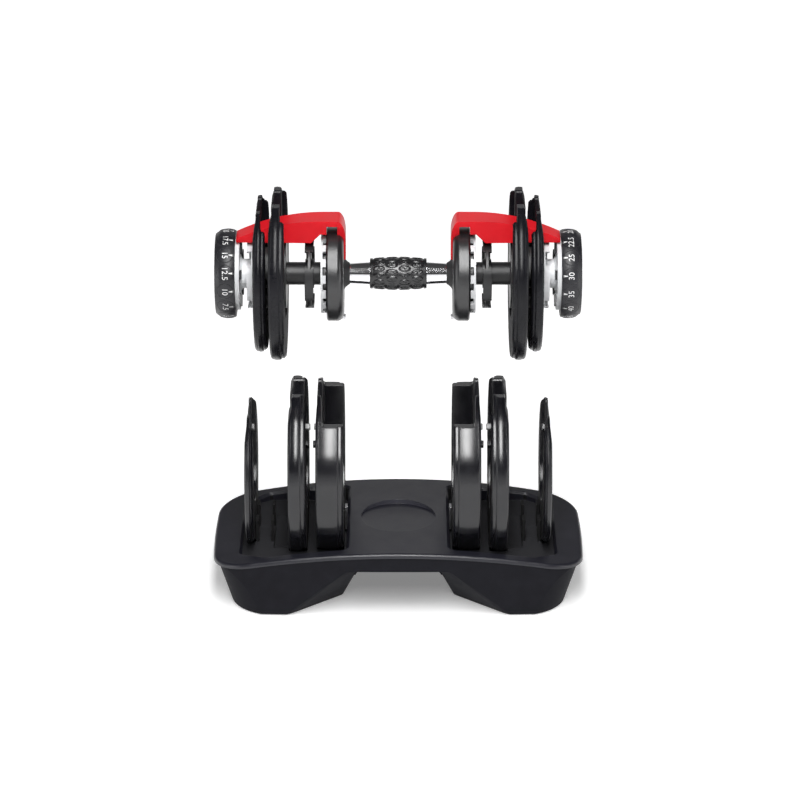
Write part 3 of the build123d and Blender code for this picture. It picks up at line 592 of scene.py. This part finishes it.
def grip_height(x, angle):
    """Relief of the grip: eye-shaped pads in staggered rows, each with a wavy slit."""
    inner = grip_half - bead_width
    if abs(x) > inner:
        return bead_height
    column = (x + inner) / (2 * inner) * grip_columns
    row = angle / (2 * math.pi) * grip_rows
    row += 0.5 * (math.floor(column) % 2)
    across = column - math.floor(column) - 0.5
    up = row - math.floor(row) - 0.5
    reach = math.hypot(across / pad_half_across, up / pad_half_up)
    rise = min(1.0, max(0.0, (1.0 - reach) / pad_edge))
    pad = rise * rise * (3 - 2 * rise)
    wave = slit_swing * math.sin(2 * math.pi * slit_waves * across)
    slit = math.exp(-((up - wave) / slit_width) ** 2) * max(0.0, 1 - (across / slit_half_across) ** 2)
    return pad_height * (pad - slit_depth * slit)


def grip_cover(along=200, around=288):
    """The moulded rubber grip."""
    points = []
    for i in range(along + 1):
        x = grip_half * (2 * i / along - 1)
        swell = grip_mid_radius - (grip_mid_radius - grip_end_radius) * (x / grip_half) ** 2
        for k in range(around):
            angle = 2 * math.pi * k / around
            radius = swell + grip_height(x, angle)
            points.append((x, radius * math.cos(angle), axis_z + radius * math.sin(angle)))
    faces = tube_faces(along + 1, around, flip=True) + end_faces(along + 1, around, flip=True)
    piece = mesh_piece("grip_cover", points, faces, grip_rubber, "handle")
    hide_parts("grip_sleeve")


grip_cover()


def lock_coil(side, steps=160, sides=8):
    """The lock spring as a fixed coil; the real spring shortens as its pin is pushed up."""
    low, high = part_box(f"{side}_lock_spring")
    middle = (low.x + high.x) / 2
    wire = spring_wire / 2
    rise = Vector((0, 0, 1))
    points = []
    for step in range(steps + 1):
        share = step / steps
        around = 2 * math.pi * spring_turns * share
        out = Vector((math.cos(around), math.sin(around), 0))
        core = Vector((middle, 0, low.z + wire + share * (high.z - low.z - 2 * wire))) + spring_radius * out
        for k in range(sides):
            turn = 2 * math.pi * k / sides
            points.append(core + wire * (math.cos(turn) * out + math.sin(turn) * rise))
    faces = tube_faces(steps + 1, sides, flip=True) + end_faces(steps + 1, sides, flip=True)
    piece = mesh_piece(f"{side}_lock_coil", points, faces, bright_steel, "handle")
    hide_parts(f"{side}_lock_spring")
    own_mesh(piece)


for side in SIDES:
    lock_coil(side)

# Camera at the photograph's angle
photo_px = 800
elevation = math.radians(23.5)
camera_distance = 3.6
target = Vector((0.0019, 0, 0.2195))
metres_per_px = 1.1155 * MM
lens_data = bpy.data.cameras.new("camera")
lens_data.sensor_width = 36
lens_data.lens = lens_data.sensor_width * camera_distance / (metres_per_px * photo_px)
lens_data.clip_end = 50
camera = bpy.data.objects.new("camera", lens_data)
camera.location = target + camera_distance * Vector((0, -math.cos(elevation), math.sin(elevation)))
camera.rotation_euler = (math.pi / 2 - elevation, 0, 0)
bpy.context.scene.collection.objects.link(camera)
bpy.context.scene.camera = camera


def softbox(name, place, width, height, power):
    """A soft studio lamp that faces the middle of the object."""
    lamp = bpy.data.lights.new(name, "AREA")
    lamp.shape = "RECTANGLE"
    lamp.size = width
    lamp.size_y = height
    lamp.energy = power
    holder = bpy.data.objects.new(name, lamp)
    holder.location = place
    holder.visible_camera = False
    holder.rotation_euler = (lamp_aim - Vector(place)).to_track_quat("-Z", "Y").to_euler()
    bpy.context.scene.collection.objects.link(holder)


softbox("main_box", (0, -1.38, 2.22), width=0.5, height=2.2, power=66)
softbox("left_box", (-2.4, -1.0, 0.9), width=0.6, height=1.8, power=13)
softbox("right_box", (2.4, -1.0, 0.9), width=0.6, height=1.8, power=13)
softbox("back_box", (0, 2.6, 1.5), width=1.0, height=1.2, power=2.0)


def seen_directly(tree):
    """One for rays that show the background: camera, mirror and glass rays."""
    path = tree.nodes.new("ShaderNodeLightPath").outputs
    seen = math_node(tree, "MAXIMUM", path["Is Camera Ray"], path["Is Glossy Ray"])
    return math_node(tree, "MAXIMUM", seen, path["Is Transmission Ray"])


def reach_from_middle(tree, radii=(1, 1)):
    """Distance from the middle of the floor, in shares of an ellipse's radii."""
    place = tree.nodes.new("ShaderNodeTexCoord")
    scale = tree.nodes.new("ShaderNodeMapping")
    scale.inputs["Scale"].default_value = (1 / radii[0], 1 / radii[1], 1)
    length = tree.nodes.new("ShaderNodeVectorMath")
    length.operation = "LENGTH"
    tree.links.new(place.outputs["Object"], scale.inputs["Vector"])
    tree.links.new(scale.outputs["Vector"], length.inputs[0])
    return length.outputs["Value"]


# Floor: white to the camera and in reflections, darker under the tray, with the object's shadow kept
floor_mesh = bpy.data.meshes.new("floor")
floor_mesh.from_pydata(
    [(x * floor_half, y * floor_half, 0) for x, y in ((-1, -1), (1, -1), (1, 1), (-1, 1))],
    [],
    [(0, 1, 2, 3)],
)
floor = bpy.data.objects.new("floor", floor_mesh)
bpy.context.scene.collection.objects.link(floor)
floor_paint, floor_tree, floor_shader = material("floor_white")
floor_shader.inputs["Roughness"].default_value = 0.9
floor_shader.inputs["Specular IOR Level"].default_value = 0.1
floor_patches = noise(floor_tree, floor_mottle, floor_detail)
floor_tint = two_tone(floor_tree, floor_patches, (0.80, 0.80, 0.80), (0.82, 0.82, 0.82))
floor_tree.links.new(floor_tint, floor_shader.inputs["Base Color"])
floor_shader.inputs["Emission Color"].default_value = (1, 1, 1, 1)
near = map_range(floor_tree, reach_from_middle(floor_tree, shade_radii), *shade_run, *shade_glow)
far = map_range(floor_tree, reach_from_middle(floor_tree), *far_run, *far_glow)
floor_glow = math_node(floor_tree, "ADD", near, far)
floor_glow = math_node(floor_tree, "MULTIPLY", seen_directly(floor_tree), floor_glow)
floor_tree.links.new(floor_glow, floor_shader.inputs["Emission Strength"])
paint(floor, floor_paint)

# World: dim light from all round, and a white horizon where the floor ends
world = bpy.data.worlds.new("studio")
bpy.context.scene.world = world
world.use_nodes = True
world_tree = world.node_tree
backdrop = world_tree.nodes["Background"]
backdrop.inputs["Color"].default_value = (1, 1, 1, 1)
horizon = map_range(world_tree, places(world_tree, "Generated")["Z"], *horizon_run, 1.0, 0.0)
world_light = math_node(world_tree, "MULTIPLY", seen_directly(world_tree), horizon)
world_light = math_node(world_tree, "MAXIMUM", world_light, world_level)
world_tree.links.new(world_light, backdrop.inputs["Strength"])

bpy.context.scene.view_settings.view_transform = "Standard"
